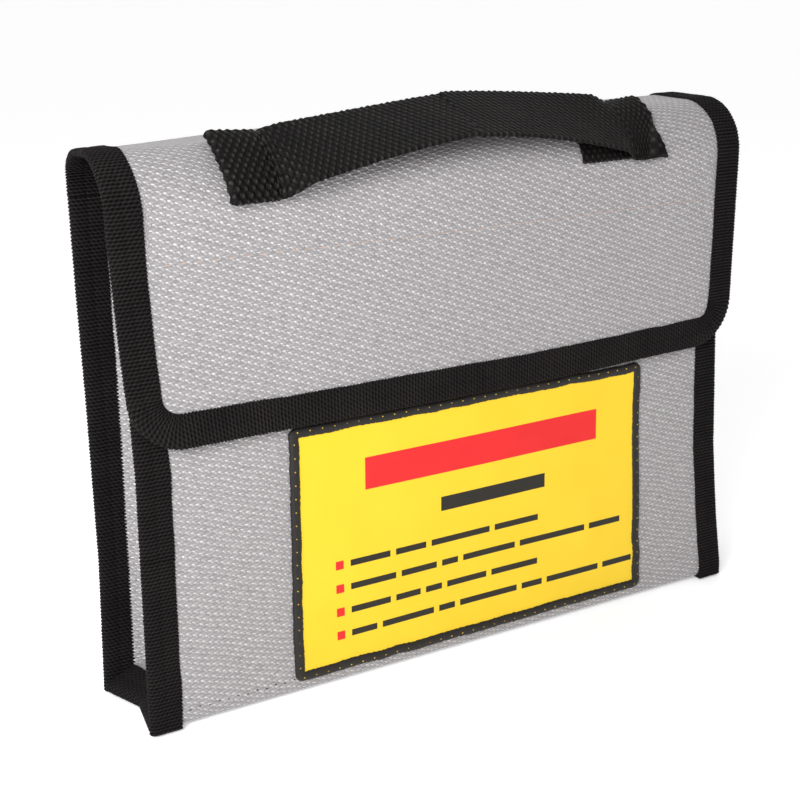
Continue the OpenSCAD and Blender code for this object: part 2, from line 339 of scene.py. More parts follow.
def tape_profile(thick):
    """Half the outline of folded tape, from its inner lip over the face to its folded edge."""
    width, h = TAPE_W, thick / 2
    e = min(1.5, 0.95 * h + 0.2)
    return np.array([
        (width - 0.02, h - 0.42), (width - 0.1, h - 0.12), (width - 0.5, h), (0.8 * width, h + 0.05),
        (0.62 * width, h + 0.02), (0.53 * width, h - 0.02), (0.5 * width, h - 0.17), (0.47 * width, h - 0.02),
        (0.36 * width, h + 0.03), (0.2 * width, h), (e, h - 0.08),
        (0.42 * e, 0.78 * h), (0.06 * e, 0.3 * h)])


def tape(name, middle, place, thick, depth, flip=False, seed=1, lead=None):
    """Ribbed tape folded over an edge. middle is the line along the tape's middle in the plane that
    place(p, q, out) maps; the folded edge lies on its right, and depth is out at mid thickness."""
    line, run = resample(middle, RIB / 3)
    inward = left_of(unit(np.gradient(line, axis=0))) * (-1 if flip else 1)
    half = tape_profile(thick)
    outline = np.concatenate([half, (half * [1, -1])[::-1]])
    normal = unit(left_of(np.roll(outline, -1, 0) - np.roll(outline, 1, 0)))
    if ((outline - outline.mean(0)) * normal).sum() < 0:
        normal = -normal
    rng = np.random.default_rng(seed)
    gap = np.arange(len(line)) % 3 == 0
    height = np.where(gap, -0.28, 0.03) + 0.03 * rng.standard_normal(len(line))
    slow = np.interp(run, np.arange(0, run[-1] + 7, 7), rng.standard_normal(int(run[-1] // 7) + 2))
    height, slow = height[:, None], slow[:, None]
    a = outline[:, 0] + height * normal[:, 0] + 0.14 * slow * smooth(outline[:, 0], 3, TAPE_W)
    out = depth + outline[:, 1] + height * normal[:, 1]
    if lead:    # starts with the thickness and depth of the tape before it
        start_thick, start_depth, length = lead
        early = (1 - smooth(run, 0, length))[:, None]
        out = depth + (start_depth - depth) * early + (out - depth) * (1 + (start_thick / thick - 1) * early)
    flat = line[:, None, :] + (a - TAPE_W / 2)[..., None] * inward[:, None, :]
    rings = place(flat[..., 0], flat[..., 1], out)
    around = distances(np.concatenate([outline, outline[:1]]))
    return loft(name, rings, around, np.arange(len(line)) * RIB / 3, sharp=60)


def stitches(name, middles, along, normals, size):
    """Thread stitches: small rounded beads, size = (length, width, height) in mm."""
    turns, rings, verts, faces, uv = 6, (-1, -0.7, 0, 0.7, 1), [], [], []
    for mid, d, n in zip(np.asarray(middles), unit(np.asarray(along)), np.asarray(normals)):
        side = unit(np.cross(d, n))
        up = np.cross(side, d)
        base = len(verts)
        for t in rings:
            r = math.sqrt(max(1 - t * t, 0.04))
            for w in 2 * math.pi * np.arange(turns) / turns:
                around = side * r * math.cos(w) * size[1] + up * r * math.sin(w) * size[2]
                verts.append(mid + (d * t * size[0] + around) / 2)
        for row in range(len(rings) - 1):
            low, high = base + row * turns, base + (row + 1) * turns
            for k in range(turns):
                q = (k + 1) % turns
                faces.append([low + k, low + q, high + q, high + k])
                uv += [(k, row), (k + 1, row), (k + 1, row + 1), (k, row + 1)]
        for row in (0, len(rings) - 1):
            faces.append([base + row * turns + k for k in range(turns)])
            uv += [(k, row) for k in range(turns)]
    return piece(name, verts, faces, uv)


def sewn(name, place, p, q, out, size):
    """Stitches that run along p on the surface that place(p, q, out) maps."""
    return stitches(name, place(p, q, out), place(p + 0.5, q, 0) - place(p - 0.5, q, 0),
                    place(p, q, 1) - place(p, q, 0), size)


# ---- Materials ----
class Shader:
    """Builds a node material on the weave's coordinates, in mm."""

    def __init__(self, name, roughness, metallic=0.0, specular=0.5):
        self.mat = bpy.data.materials.new(name)
        self.mat.use_nodes = True
        self.tree = self.mat.node_tree
        self.tree.nodes.clear()
        out = self.node("OutputMaterial")
        self.bsdf = self.node("BsdfPrincipled")
        for socket, value in (("Roughness", roughness), ("Metallic", metallic),
                              ("Specular IOR Level", specular)):
            self.bsdf.inputs[socket].default_value = value
        self.link(self.bsdf.outputs[0], out.inputs[0])
        uv = self.node("UVMap")
        uv.uv_map = "weave"
        self.at = self.vector("SCALE", uv.outputs[0], scale=1 / MM)

    def node(self, kind):
        return self.tree.nodes.new("ShaderNode" + kind)

    def link(self, a, b):
        self.tree.links.new(a, b)

    def put(self, socket, value):
        if hasattr(value, "is_output"):
            self.link(value, socket)
        else:
            socket.default_value = value

    def vector(self, how, a, b=None, scale=None):
        node = self.node("VectorMath")
        node.operation = how
        self.put(node.inputs[0], a)
        if b is not None:
            self.put(node.inputs[1], b)
        if scale is not None:
            self.put(node.inputs["Scale"], scale)
        return node.outputs["Value" if how == "DOT_PRODUCT" else "Vector"]

    def math(self, how, a, b=None, c=None, clamp=False):
        node = self.node("Math")
        node.operation = how
        node.use_clamp = clamp
        for socket, value in zip(node.inputs, (a, b, c)):
            if value is not None:
                self.put(socket, value)
        return node.outputs[0]

    def mul_add(self, a, b, c):
        return self.math("MULTIPLY_ADD", a, b, c)

    def noise(self, scale, detail=2.0, rough=0.5, give="Fac"):
        node = self.node("TexNoise")
        self.put(node.inputs["Vector"], self.at)
        for socket, value in (("Scale", scale), ("Detail", detail), ("Roughness", rough)):
            node.inputs[socket].default_value = value
        return node.outputs[give]

    def wave(self, across, along):
        """A cosine wave, with so many waves per mm across and along the weave."""
        turns = (2 * math.pi * across, 2 * math.pi * along, 0.0)
        return self.math("COSINE", self.vector("DOT_PRODUCT", self.at, turns))

    def ramp(self, value, stops):
        node = self.node("ValToRGB")
        self.put(node.inputs[0], value)
        elements = node.color_ramp.elements
        while len(elements) < len(stops):
            elements.new(0.5)
        for element, (place, colour) in zip(elements, stops):
            element.position = place
            element.color = (*colour, 1)
        return node.outputs[0]

    def colour(self, value):
        self.put(self.bsdf.inputs["Base Color"], value)

    def bump(self, height, distance, strength=1.0):
        node = self.node("Bump")
        node.inputs["Strength"].default_value = strength
        node.inputs["Distance"].default_value = distance * MM
        self.put(node.inputs["Height"], height)
        self.link(node.outputs[0], self.bsdf.inputs["Normal"])
        return self.mat

    def rough(self, value, low, high):
        node = self.node("MapRange")
        self.put(node.inputs["Value"], value)
        node.inputs["To Min"].default_value = low
        node.inputs["To Max"].default_value = high
        self.link(node.outputs[0], self.bsdf.inputs["Roughness"])


# Five-end satin: how far it is to the next float along the two rows of floats, mm
SATIN_UP, SATIN_DOWN = (1.1, 1.45), (1.8, -0.7)
# The yarn's floats in one repeat: place, half length, half width, slope, height
FLOATS = [((-0.25, 0.15), 0.7, 0.4, -0.35, 1.0), ((0.45, -0.45), 0.5, 0.4, -0.5, 0.7),
          ((0.4, 0.35), 1.1, 0.35, 0.1, 0.4)]


def coated_cloth(name, wander, stretch=(1, 1, 1)):
    """Silver coated satin: shiny yarn floats on a duller ground, the floats painted lighter as a painted
    highlight and the ground between them painted darker as painted shade. The weave drifts wander mm off its
    grid.
    """
    m = Shader(name, 0.42, metallic=0.1, specular=0.5)
    at = m.vector("MULTIPLY", m.at, stretch)
    for scale, detail, size in ((0.11, 2.0, wander), (0.8, 1.0, 0.38)):
        drift = m.vector("SUBTRACT", m.noise(scale, detail, give="Color"), (0.5, 0.5, 0.5))
        at = m.vector("ADD", at, m.vector("SCALE", drift, scale=size))
    (ux, uz), (dx, dz) = SATIN_UP, SATIN_DOWN
    area = ux * dz - uz * dx
    up_of, down_of = (dz / area, -dx / area, 0), (-uz / area, ux / area, 0)
    relief = None
    for (cx, cz), half_long, half_wide, slope, height in FLOATS:
        here = m.vector("SUBTRACT", at, (cx, cz, 0))
        p, q = m.vector("DOT_PRODUCT", here, up_of), m.vector("DOT_PRODUCT", here, down_of)
        rp, rq = m.math("ROUND", p), m.math("ROUND", q)
        p, q = m.math("SUBTRACT", p, rp), m.math("SUBTRACT", q, rq)
        c, s = math.cos(slope), math.sin(slope)
        along = m.mul_add(p, (c * ux + s * uz) / half_long,
                          m.math("MULTIPLY", q, (c * dx + s * dz) / half_long))
        across = m.mul_add(p, (c * uz - s * ux) / half_wide,
                           m.math("MULTIPLY", q, (c * dz - s * dx) / half_wide))
        far = m.mul_add(along, along, m.math("MULTIPLY", across, across))
        dome = m.math("POWER", m.math("SUBTRACT", 1.0, far, clamp=True), 0.85)
        if relief is not None:
            relief = m.mul_add(dome, height, relief)
        else:       # the main float, whose height varies from one to the next
            relief = m.math("MULTIPLY", dome, height)
            knot = m.node("CombineXYZ")
            m.put(knot.inputs[0], rp)
            m.put(knot.inputs[1], rq)
            own = m.node("TexWhiteNoise")
            m.put(own.inputs["Vector"], knot.outputs[0])
            relief = m.math("MULTIPLY", relief, m.mul_add(own.outputs["Value"], 0.3, 0.85))
    patch = m.noise(0.45)
    # painted highlight and shade: the colour rises with the floats' relief and falls on the low ground
    # between them; patch adds random tone
    level = m.mul_add(relief, 0.52, m.mul_add(patch, 0.34, -0.02))
    m.colour(m.ramp(level, [(0.0, (0.185, 0.176, 0.181)), (0.20, (0.305, 0.292, 0.30)),
                            (0.50, (0.46, 0.443, 0.453)), (0.95, (0.83, 0.806, 0.82))]))
    m.rough(level, 0.55, 0.34)
    return m.bump(relief, 0.26)


def binding_tape():
    """Ribbed tape: every rib is a row of slanting knots, with a gap before the next; the gaps are painted
    dark as painted shade and the rib tops lighter as a painted highlight.
    """
    m = Shader("binding_tape", 0.8, specular=0.13)
    knot = 1.45     # pitch of the knots along a rib, mm
    gap = m.wave(0.0, 1 / RIB)
    slant = m.wave(1 / knot, 0.5 / RIB)
    cross = m.wave(1 / knot, -0.5 / RIB)
    knots = m.mul_add(slant, 0.17, m.math("MULTIPLY", cross, 0.07))
    # painted shade and highlight: the gap wave darkens the valleys between ribs and lightens the rib tops
    weave = m.math("ADD", m.mul_add(gap, -0.22, 0.42), knots)
    fuzz = m.noise(1.9, 3.0, 0.65)
    slow = m.noise(0.06)
    level = m.mul_add(fuzz, 0.55, m.math("ADD", weave, -0.26))
    tint = m.mul_add(slow, 0.35, m.math("ADD", level, -0.1))
    m.colour(m.ramp(tint, [(0.12, (0.0010, 0.0008, 0.0008)), (0.42, (0.0040, 0.0032, 0.0033)),
                           (0.66, (0.0105, 0.0086, 0.0086)), (0.95, (0.026, 0.0225, 0.022))]))
    return m.bump(level, 0.42)


WEB_PITCH = 1.72    # the webbing's coarse plain weave: width of a column
WEB_STEP = 1.12     # and half the length of a knot with its gap


def webbing():
    """Coarse plain weave: round knots in columns, every column half a step off the last; the knots are
    painted lighter as a painted highlight and the gaps between them darker as painted shade.
    """
    m = Shader("webbing", 0.55, specular=0.15)
    parts = m.node("SeparateXYZ")
    m.put(parts.inputs[0], m.at)
    across = m.math("MULTIPLY", parts.outputs[0], 1 / WEB_PITCH)
    column = m.math("ROUND", across)
    inside = m.math("SUBTRACT", across, column)
    turn = m.math("ADD", m.math("MULTIPLY", parts.outputs[1], 1 / WEB_STEP), column)
    knot = m.math("MAXIMUM", m.math("SINE", m.math("MULTIPLY", turn, math.pi)), -0.45)
    dome = m.math("COSINE", m.math("MULTIPLY", inside, math.pi))
    strands = m.wave(0.9 / WEB_PITCH, 2.2 / WEB_PITCH)
    fuzz = m.noise(1.6, 3.0, 0.6)
    # painted highlight and shade: the colour follows the knots, lightest on their tops and darkest between
    # them
    weave = m.mul_add(m.math("MULTIPLY", knot, dome), 0.36, 0.33)
    level = m.mul_add(fuzz, 0.36, m.math("ADD", weave, -0.16))
    level = m.mul_add(strands, 0.045, level)
    slow = m.noise(0.09)
    tint = m.mul_add(slow, 0.3, m.math("ADD", level, -0.12))
    m.colour(m.ramp(tint, [(0.20, (0.0005, 0.0004, 0.0004)), (0.44, (0.0020, 0.0015, 0.0014)),
                           (0.66, (0.0145, 0.0112, 0.0102)), (0.92, (0.075, 0.062, 0.057))]))
    return m.bump(level, 0.9)


def plain_weave(name, low, high, pitch=0.55):
    """A fine, close plain weave, for the label's cloth and its print."""
    m = Shader(name, 0.6, specular=0.35)
    cross = m.math("MULTIPLY", m.wave(0.5 / pitch, 0), m.wave(0, 0.5 / pitch))
    fuzz = m.noise(2.2)
    slow = m.noise(0.05)
    level = m.mul_add(cross, 0.22, m.mul_add(fuzz, 0.5, 0.25))
    tint = m.mul_add(slow, 0.4, m.mul_add(level, 0.5, 0.05))
    m.colour(m.ramp(tint, [(0.25, low), (0.75, high)]))
    return m.bump(level, 0.06, 0.6)


def thread(name, low, high, pitch):
    """Twisted or overlocked thread: fine slanting strands."""
    m = Shader(name, 0.6, specular=0.35)
    strands = m.wave(0.35 / pitch, 1 / pitch)
    fuzz = m.noise(1.7)
    level = m.mul_add(strands, 0.3, fuzz)
    m.colour(m.ramp(level, [(0.2, low), (0.8, high)]))
    return m.bump(level, 0.12, 0.7)


def pile(name, low, high, size, distance):
    """A fuzzy or hooked pile."""
    m = Shader(name, 0.9, specular=0.2)
    node = m.node("TexVoronoi")
    m.put(node.inputs["Vector"], m.at)
    node.inputs["Scale"].default_value = size
    fuzz = m.noise(size * 1.7, 3.0, 0.7)
    level = m.math("MULTIPLY_ADD", node.outputs["Distance"], -0.8, m.mul_add(fuzz, 0.8, 0.5), clamp=True)
    m.colour(m.ramp(level, [(0.2, low), (0.8, high)]))
    return m.bump(level, distance, 0.9)


FLAP_CLOTH = coated_cloth("coated_cloth_flap", 1.2)
BODY_CLOTH = coated_cloth("coated_cloth_body", 2.2, stretch=(0.92, 1.05, 1.0))
TAPE = binding_tape()
WEBBING = webbing()
LABEL = plain_weave("label_cloth", (0.78, 0.52, 0.012), (0.90, 0.62, 0.030))
PRINT_RED = plain_weave("print_red", (0.62, 0.010, 0.012), (0.85, 0.022, 0.022))
PRINT_BLACK = plain_weave("print_black", (0.010, 0.009, 0.006), (0.022, 0.019, 0.012))
BORDER = thread("label_thread", (0.005, 0.0045, 0.004), (0.022, 0.019, 0.017), 0.55)
LOOP = pile("loop_pile", (0.004, 0.004, 0.004), (0.020, 0.019, 0.018), 1.1, 0.5)
HOOK = pile("hook_tape", (0.004, 0.004, 0.0042), (0.026, 0.026, 0.027), 0.9, 0.5)
TAN = thread("tan_thread", (0.46, 0.33, 0.27), (0.72, 0.56, 0.48), 0.3)
BLACK_THREAD = thread("black_thread", (0.006, 0.0055, 0.005), (0.03, 0.028, 0.026), 0.3)


def dress(obj, material, replaces=(), body=None, blend=None):
    """Gives a piece its material, the nodes it stands for and what it rides on."""
    obj.data.materials.append(material)
    if replaces:
        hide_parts(*replaces)
    if body:
        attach(obj, body)
    if blend:
        a, b, start, end = blend
        tuple(np.array(start) * MM)
        tuple(np.array(end) * MM)
        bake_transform(obj)
    return obj


def bind(name, line, place, thick, depth, node, body=None, blend=None, **how):
    """A length of binding tape, dressed."""
    return dress(tape(name, line, place, thick, depth, **how), TAPE, [node], body, blend)


def bind_sides(name, node, low, high, place, thick, depth, seed, body=None, blend=None, lead=None):
    """The two tapes that bind a panel's left and right edges, from low to high."""
    for side, word in SIDES:
        edge = side * (HALF_W - TAPE_W / 2)
        bind(name.format(word), [(edge, low), (edge, high)], place, thick, depth, node.format(word),
             body, blend, flip=side < 0, seed=seed + side, lead=lead)


def squash_base(obj):
    """Gives a bottom piece its own copy of its mesh."""
    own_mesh(obj)


# ---- Camera, light and floor ----
def add_camera():
    azimuth, elevation, roll = (math.radians(a) for a in (-32.69, 16.39, -0.52))
    right = Vector((math.cos(azimuth), math.sin(azimuth), 0))
    level = math.cos(elevation)
    back = Vector((math.sin(azimuth) * level, -math.cos(azimuth) * level, math.sin(elevation)))
    up = back.cross(right)
    c, s = math.cos(roll), math.sin(roll)
    turned = Matrix((c * right + s * up, -s * right + c * up, back)).transposed().to_4x4()
    turned.translation = Vector((-0.2748, -0.4103, 0.2230))
    data = bpy.data.cameras.new("camera")
    data.lens, data.sensor_width = 74.03, 36
    data.clip_start, data.clip_end = 0.01, 50
    camera = add("camera", data)
    camera.matrix_world = turned
    bpy.context.scene.camera = camera


def add_light(name, place, target, size, power):
    data = bpy.data.lights.new(name, "AREA")
    data.shape, data.size, data.energy = "DISK", size, power
    light = add(name, data)
    light.location = place
    light.rotation_mode = "QUATERNION"
    light.rotation_quaternion = (Vector(target) - Vector(place)).to_track_quat("-Z", "Y")


def add_studio():
    scene = bpy.context.scene
    scene.view_settings.view_transform = "Standard"
    world = bpy.data.worlds.new("studio")
    world.use_nodes = True
    sky = world.node_tree
    where = sky.nodes.new("ShaderNodeTexCoord")
    split = sky.nodes.new("ShaderNodeSeparateXYZ")
    sky.links.new(where.outputs["Generated"], split.inputs[0])
    fade = sky.nodes.new("ShaderNodeMapRange")
    for socket, value in (("From Min", -0.35), ("From Max", 0.25), ("To Min", 0.30), ("To Max", 1.0)):
        fade.inputs[socket].default_value = value
    sky.links.new(split.outputs["Y"], fade.inputs["Value"])
    sky.links.new(fade.outputs[0], sky.nodes["Background"].inputs[1])
    sky.nodes["Background"].inputs[0].default_value = (1, 1, 1, 1)
    scene.world = world
    add_light("key", (-0.46, -0.38, 0.38), (-0.05, 0, 0.06), 0.3, 4.3)
    mesh = bpy.data.meshes.new("floor")
    r, n, below = 16.0, 96, 0.0006      # metres, and the number of sides
    turns = [2 * math.pi * k / n for k in range(n)]
    mesh.from_pydata([(r * math.cos(a), r * math.sin(a), -below) for a in turns], [], [list(range(n))])
    floor = add("floor", mesh)
    paint = Shader("floor_paper", 0.9, specular=0.1)
    fine = paint.noise(0.02)
    paint.colour(paint.ramp(fine, [(0.2, (0.955, 0.955, 0.955)), (0.8, (0.965, 0.965, 0.965))]))
    paint.bsdf.inputs["Emission Color"].default_value = (1, 1, 1, 1)
    paint.bsdf.inputs["Emission Strength"].default_value = 0.32
    mesh.uv_layers.new(name="weave")
    mesh.materials.append(paint.mat)
    floor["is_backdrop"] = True


add_camera()
add_studio()


# ---- Back ----
EDGE_W = CLOTH_W - 1.8      # the cloth's raw edges lie this far out, well inside the tape
wide = evenly(-EDGE_W, EDGE_W, CLOTH_GRID)
back_cloth = dress(slab("back_cloth", wide, evenly(BASE_R, SPLIT_Z, CLOTH_GRID), back_at, CLOTH_T),
                   BODY_CLOTH, ["back_panel"], "back")
bind_sides("back_binding_{}_tape", "back_binding_{}", 0.4, SPLIT_Z, back_at, FLANGE_T, -CLOTH_T, 3, "back")


# ---- Front ----
front_cloth = dress(slab("front_cloth", wide, evenly(BASE_R, MOUTH_Z - HEM_GAP, 2.6), front_at, CLOTH_T),
                    BODY_CLOTH, ["front_panel"], "front")


def front_flange(x, z, out):
    """The front's bound side edges, which don't ripple."""
    return pull_front(points(x, FRONT_Y - out, z))


bind_sides("front_binding_{}_tape", "front_binding_{}", 0.05, MOUTH_Z - TAPE_W + 0.4, front_flange,
           FLANGE_T, -CLOTH_T, 7, "front")
MOUTH_TAPE_Z = MOUTH_Z - TAPE_W / 2
bind("mouth_front_tape", [(HALF_W - 0.3, MOUTH_TAPE_Z), (0.3 - HALF_W, MOUTH_TAPE_Z)], front_at,
     HEM_T, -CLOTH_T / 2, "mouth_binding_front", "front", seed=11)
PILE_GRID = 2.4
loop_t = LOOP_HIGH[1] - LOOP_LOW[1]
loop_x, loop_z = (evenly(LOOP_LOW[k], LOOP_HIGH[k], PILE_GRID) for k in (0, 2))
loops = slab("loop_strip_pile", loop_x, loop_z, front_at, loop_t + 0.1, top=loop_t)
dress(loops, LOOP, ["loop_strip"], "front")


# ---- Label ----
border_w, label_t = 3.1, 0.5
patch_x, patch_z = (evenly(LABEL_LOW[k] + 1, LABEL_HIGH[k] - 1, 2.0) for k in (0, 2))
patch = slab("label_patch_cloth", patch_x, patch_z, front_at, label_t + 0.05, top=label_t)
dress(patch, LABEL, ["label_patch"], "front")


def label_outline(inset):
    """Points round the label, anticlockwise and inset mm in from its edge."""
    x0, z0, x1, z1 = *(LABEL_LOW[[0, 2]] + inset), *(LABEL_HIGH[[0, 2]] - inset)
    r = max(LABEL_R - inset, 0.1)
    line = []
    for cx, cz, first in ((x1 - r, z0 + r, -90), (x1 - r, z1 - r, 0),
                          (x0 + r, z1 - r, 90), (x0 + r, z0 + r, 180)):
        for a in np.radians(np.linspace(first, first + 90, 7)):
            line.append((cx + r * math.cos(a), cz + r * math.sin(a)))
    line.append(line[0])
    return np.array(line)


def overlock():
    """The label's border: a rope of overlocked thread, with close slanting stitches."""
    pitch = 0.42
    middle, run = resample(label_outline(border_w / 2), pitch)
    middle, run = middle[:-1], run[:-1]
    inward = left_of(unit(np.roll(middle, -1, 0) - np.roll(middle, 1, 0)))
    rng = np.random.default_rng(21)
    knots = rng.standard_normal(len(middle) // 14 + 2)
    slow = np.interp(run, np.linspace(0, run[-1], len(knots)), knots)
    turn = np.linspace(0, math.pi, 9)
    rings = []
    for k in range(len(middle)):
        bead = 1 + 0.07 * (k % 2)
        half = border_w / 2 * (1 + 0.05 * rng.standard_normal())
        a = np.append(-np.cos(turn) * half, [half * 0.9, -half * 0.9])
        out = np.append(0.1 + (label_t + 0.55) * bead * np.sin(turn) ** 0.6, [0.02, 0.02])
        flat = middle[k] + (a + 0.16 * slow[k])[:, None] * inward[k]
        rings.append(front_at(flat[:, 0], flat[:, 1], out))
    rings = np.array(rings)
    n, m = rings.shape[:2]
    faces, uv = [], []
    along = np.append(run, run[-1] + pitch)
    around = np.linspace(0, 8, m + 1)
    for i in range(n):
        nxt = (i + 1) % n
        for j in range(m):
            q = (j + 1) % m
            faces.append([i * m + j, i * m + q, nxt * m + q, nxt * m + j])
            uv += [(around[a], along[b]) for a, b in ((j, i), (j + 1, i), (j + 1, i + 1), (j, i + 1))]
    return piece("label_border_overlock", rings.reshape(-1, 3), faces, uv, 70)


dress(overlock(), BORDER, ["label_border"], "front")
knots, _ = resample(label_outline(border_w * 0.42), 4.1)
dots = sewn("label_border_dots", front_at, knots[:, 0], knots[:, 1], label_t + 0.62, (0.5, 0.45, 0.2))
dress(dots, LABEL, body="front")
seam_x = np.arange(-95, -18, 3.1)
marks = sewn("bottom_seam_stitches", front_at, seam_x, 5.2 + 0.25 * np.sin(seam_x), 0.0, (0.75, 0.45, 0.16))
dress(marks, BLACK_THREAD, body="front")


def print_marks(name, boxes, material):
    """Plain printed bars on the label, x0, z0, x1, z1 in label millimetres from its middle."""
    middle = (LABEL_LOW + LABEL_HIGH) / 2
    verts, faces, uv = [], [], []
    for x0, z0, x1, z1 in boxes:
        nx, nz = max(2, int((x1 - x0) / 2) + 2), 3
        base = len(verts)
        flat = [(x, z) for z in np.linspace(z0, z1, nz) for x in np.linspace(x0, x1, nx)]
        verts += [front_at(x + middle[0], z + middle[2], label_t + 0.035) for x, z in flat]
        for r in range(nz - 1):
            for k in range(r * nx, r * nx + nx - 1):
                cell = [k, k + 1, k + nx + 1, k + nx]
                faces.append([base + c for c in cell])
                uv += [flat[c] for c in cell]
    obj = piece(name, verts, faces, uv)
    build = bmesh.new()
    build.from_mesh(obj.data)
    if sum(f.normal.y for f in build.faces) > 0:      # the bars face forwards
        bmesh.ops.reverse_faces(build, faces=build.faces)
    build.to_mesh(obj.data)
    build.free()
    dress(obj, material, body="front")


def bars(z, height, runs, start):
    """Bars of the given lengths along one line, with a gap after each."""
    made, x = [], start
    for length, gap in runs:
        made.append((x, z - height / 2, x + length, z + height / 2))
        x += length + gap
    return made


LINES = [(-5.5, [(14, 2), (11, 2), (22, 2), (17, 0)]),
         (-13.0, [(16, 2), (13, 2), (6, 2), (20, 2), (26, 2), (13, 0)]),
         (-20.5, [(14, 2), (9, 2), (6, 2), (15, 2), (18, 0)]),
         (-28.0, [(9, 2), (19, 2), (6, 2), (22, 2), (8, 2), (21, 2), (12, 0)])]
print_marks("label_print_red", [(-41, 16.5, 47, 26.5)]
            + [(-51.6, z - 1.35, -48.9, z + 1.35) for z, _ in LINES], PRINT_RED)
print_marks("label_print_black", bars(6.5, 4.6, [(40, 0)], -14)
            + [b for z, runs in LINES for b in bars(z, 2.0, runs, -46.5)], PRINT_BLACK)


# ---- Bottom: cloth, its bound ends and the ramps where the pleats run out ----
BASE_RUNS = np.cumsum([0, BASE_R * QUARTER, BACK_Y - FRONT_Y - 2 * BASE_R, BASE_R * QUARTER])


def base_edge(y):
    """How far the bottom's ends are drawn in at depth y."""
    return 4.0 * np.clip(1 - np.abs(y) / 15.5, 0, 1)


def base_at(x, s, out):
    """A point out mm below the bottom cloth, s mm along it from the front fold to the back one."""
    a = np.clip(s / BASE_R, 0, QUARTER)
    b = np.clip((s - BASE_RUNS[2]) / BASE_R, 0, QUARTER)
    flat = np.clip(s - BASE_RUNS[1], 0, BASE_RUNS[2] - BASE_RUNS[1])
    angle = math.pi + a + b
    y = FRONT_Y + BASE_R * (1 - np.cos(a)) + flat + BASE_R * np.sin(b)
    z = BASE_R * (1 - np.sin(a)) + BASE_R * (1 - np.cos(b))
    edge = 1 - base_edge(y) / HALF_W
    lift = 4.0 * smooth(np.abs(x), INNER_W - 9, INNER_W) * (1 - smooth(np.abs(y), 11, 16))
    p = points(x * edge, y + out * np.cos(angle), z + out * np.sin(angle) + lift)
    return pull_front(p, smooth(-y, -BACK_Y, -FRONT_Y))


base_x, base_s = evenly(-INNER_W - 2.5, INNER_W + 2.5, CLOTH_GRID), evenly(0, BASE_RUNS[3], 1.1)
base_cloth = dress(slab("bottom_cloth", base_x, base_s, base_at, CLOTH_T, v=-base_s + BASE_R),
                   BODY_CLOTH, ["bottom_panel"], "back")
squash_base(base_cloth)


def base_flange(side):
    """Maps tape along the bottom's end seam: p is distance in from the outer edge, q is depth."""
    def place(p, q, out):
        slope = 4.2 / TAPE_W
        x = HALF_W - p - base_edge(q) * (1 - 0.45 * smooth(p, 0, TAPE_W))
        z = FLANGE_T / 2 + 0.1 + slope * p + out
        return pull_front(points(side * x, q, z), smooth(-q, -BACK_Y, -FRONT_Y))
    return place


for side, word in SIDES:
    squash_base(bind(f"bottom_binding_{word}_tape", [(TAPE_W / 2, 15.4), (TAPE_W / 2, -15.4)],
                     base_flange(side), FLANGE_T, 0, f"bottom_binding_{word}", "back", seed=15 + side))


# ---- Gussets: one pleated sheet on each side ----
LEAF = CREASE[:2] - REAR_HINGE[:2]
LEAF_L = float(np.linalg.norm(LEAF))
LEAF_DIR = LEAF / LEAF_L
LEAF_OUT = np.array([-LEAF_DIR[1], LEAF_DIR[0]])
LEAF_OFF = 1.25     # from the leaf's hinge line to the middle of its cloth
GUSSET_LOW = 3.7    # the gusset cloth's lower edge
FOOT_LOW, FOOT_HIGH = 5.4, 15.0


def pleat_line():
    """The left gusset's cloth in plan, from inside the rear flange to inside the front one."""
    flange = BACK_Y - CLOTH_T - 0.2
    start = REAR_HINGE[:2] + LEAF_OUT * LEAF_OFF
    rear = [np.array((-INNER_W - 1.7, flange - 0.5)), np.array((-INNER_W - 0.7, flange - 0.6))]
    rear += [start + LEAF_DIR * d for d in (0.6, 2, LEAF_L - 4.2)]
    first = math.atan2(LEAF_OUT[1], LEAF_OUT[0])
    bend = [CREASE[:2] + LEAF_OFF * np.array((math.cos(a), math.sin(a)))
            for a in np.linspace(first, -first, 9)]
    half = rear + bend[:5]
    return np.array(half + [p * [1, -1] for p in half[-2::-1]])


PLEAT, PLEAT_RUN = resample(pleat_line(), 0.45)
PLEAT_STEP = unit(np.gradient(PLEAT, axis=0))
PLEAT_SPLIT = int(np.argmax(PLEAT_RUN > PLEAT_RUN[-1] / 2 - 4.5))      # the rear leaf's last point


def pleat_at(side):
    """Maps cloth to a gusset: run is the distance along the pleat from the back."""
    def place(run, z, out):
        x, y, tx, ty = (np.interp(run, PLEAT_RUN, of) for of in (*PLEAT.T, *PLEAT_STEP.T))
        got = points(side * -(x + out * ty), y - out * tx, z)
        return pull_front(got, 1.08 * smooth(-y, -REAR_HINGE[1], REAR_HINGE[1]), 0.1)
    return place


def foot_at(side):
    """Maps the cloth that closes the foot of a pleat: t is 0 at the bottom seam and 1 at the pleat."""
    def place(run, t, out):
        upper = pleat_at(side)(run, FOOT_HIGH, 0)
        x, y = upper[..., 0], upper[..., 1]
        low_x = side * (INNER_W + 0.6 - 0.55 * base_edge(y))
        rise = t ** 1.4 * (0.25 + 0.75 * smooth(np.abs(x - low_x), 0, 12))
        return points(low_x + (x - low_x) * t, y, FOOT_LOW + (FOOT_HIGH - FOOT_LOW) * rise - out)
    return place


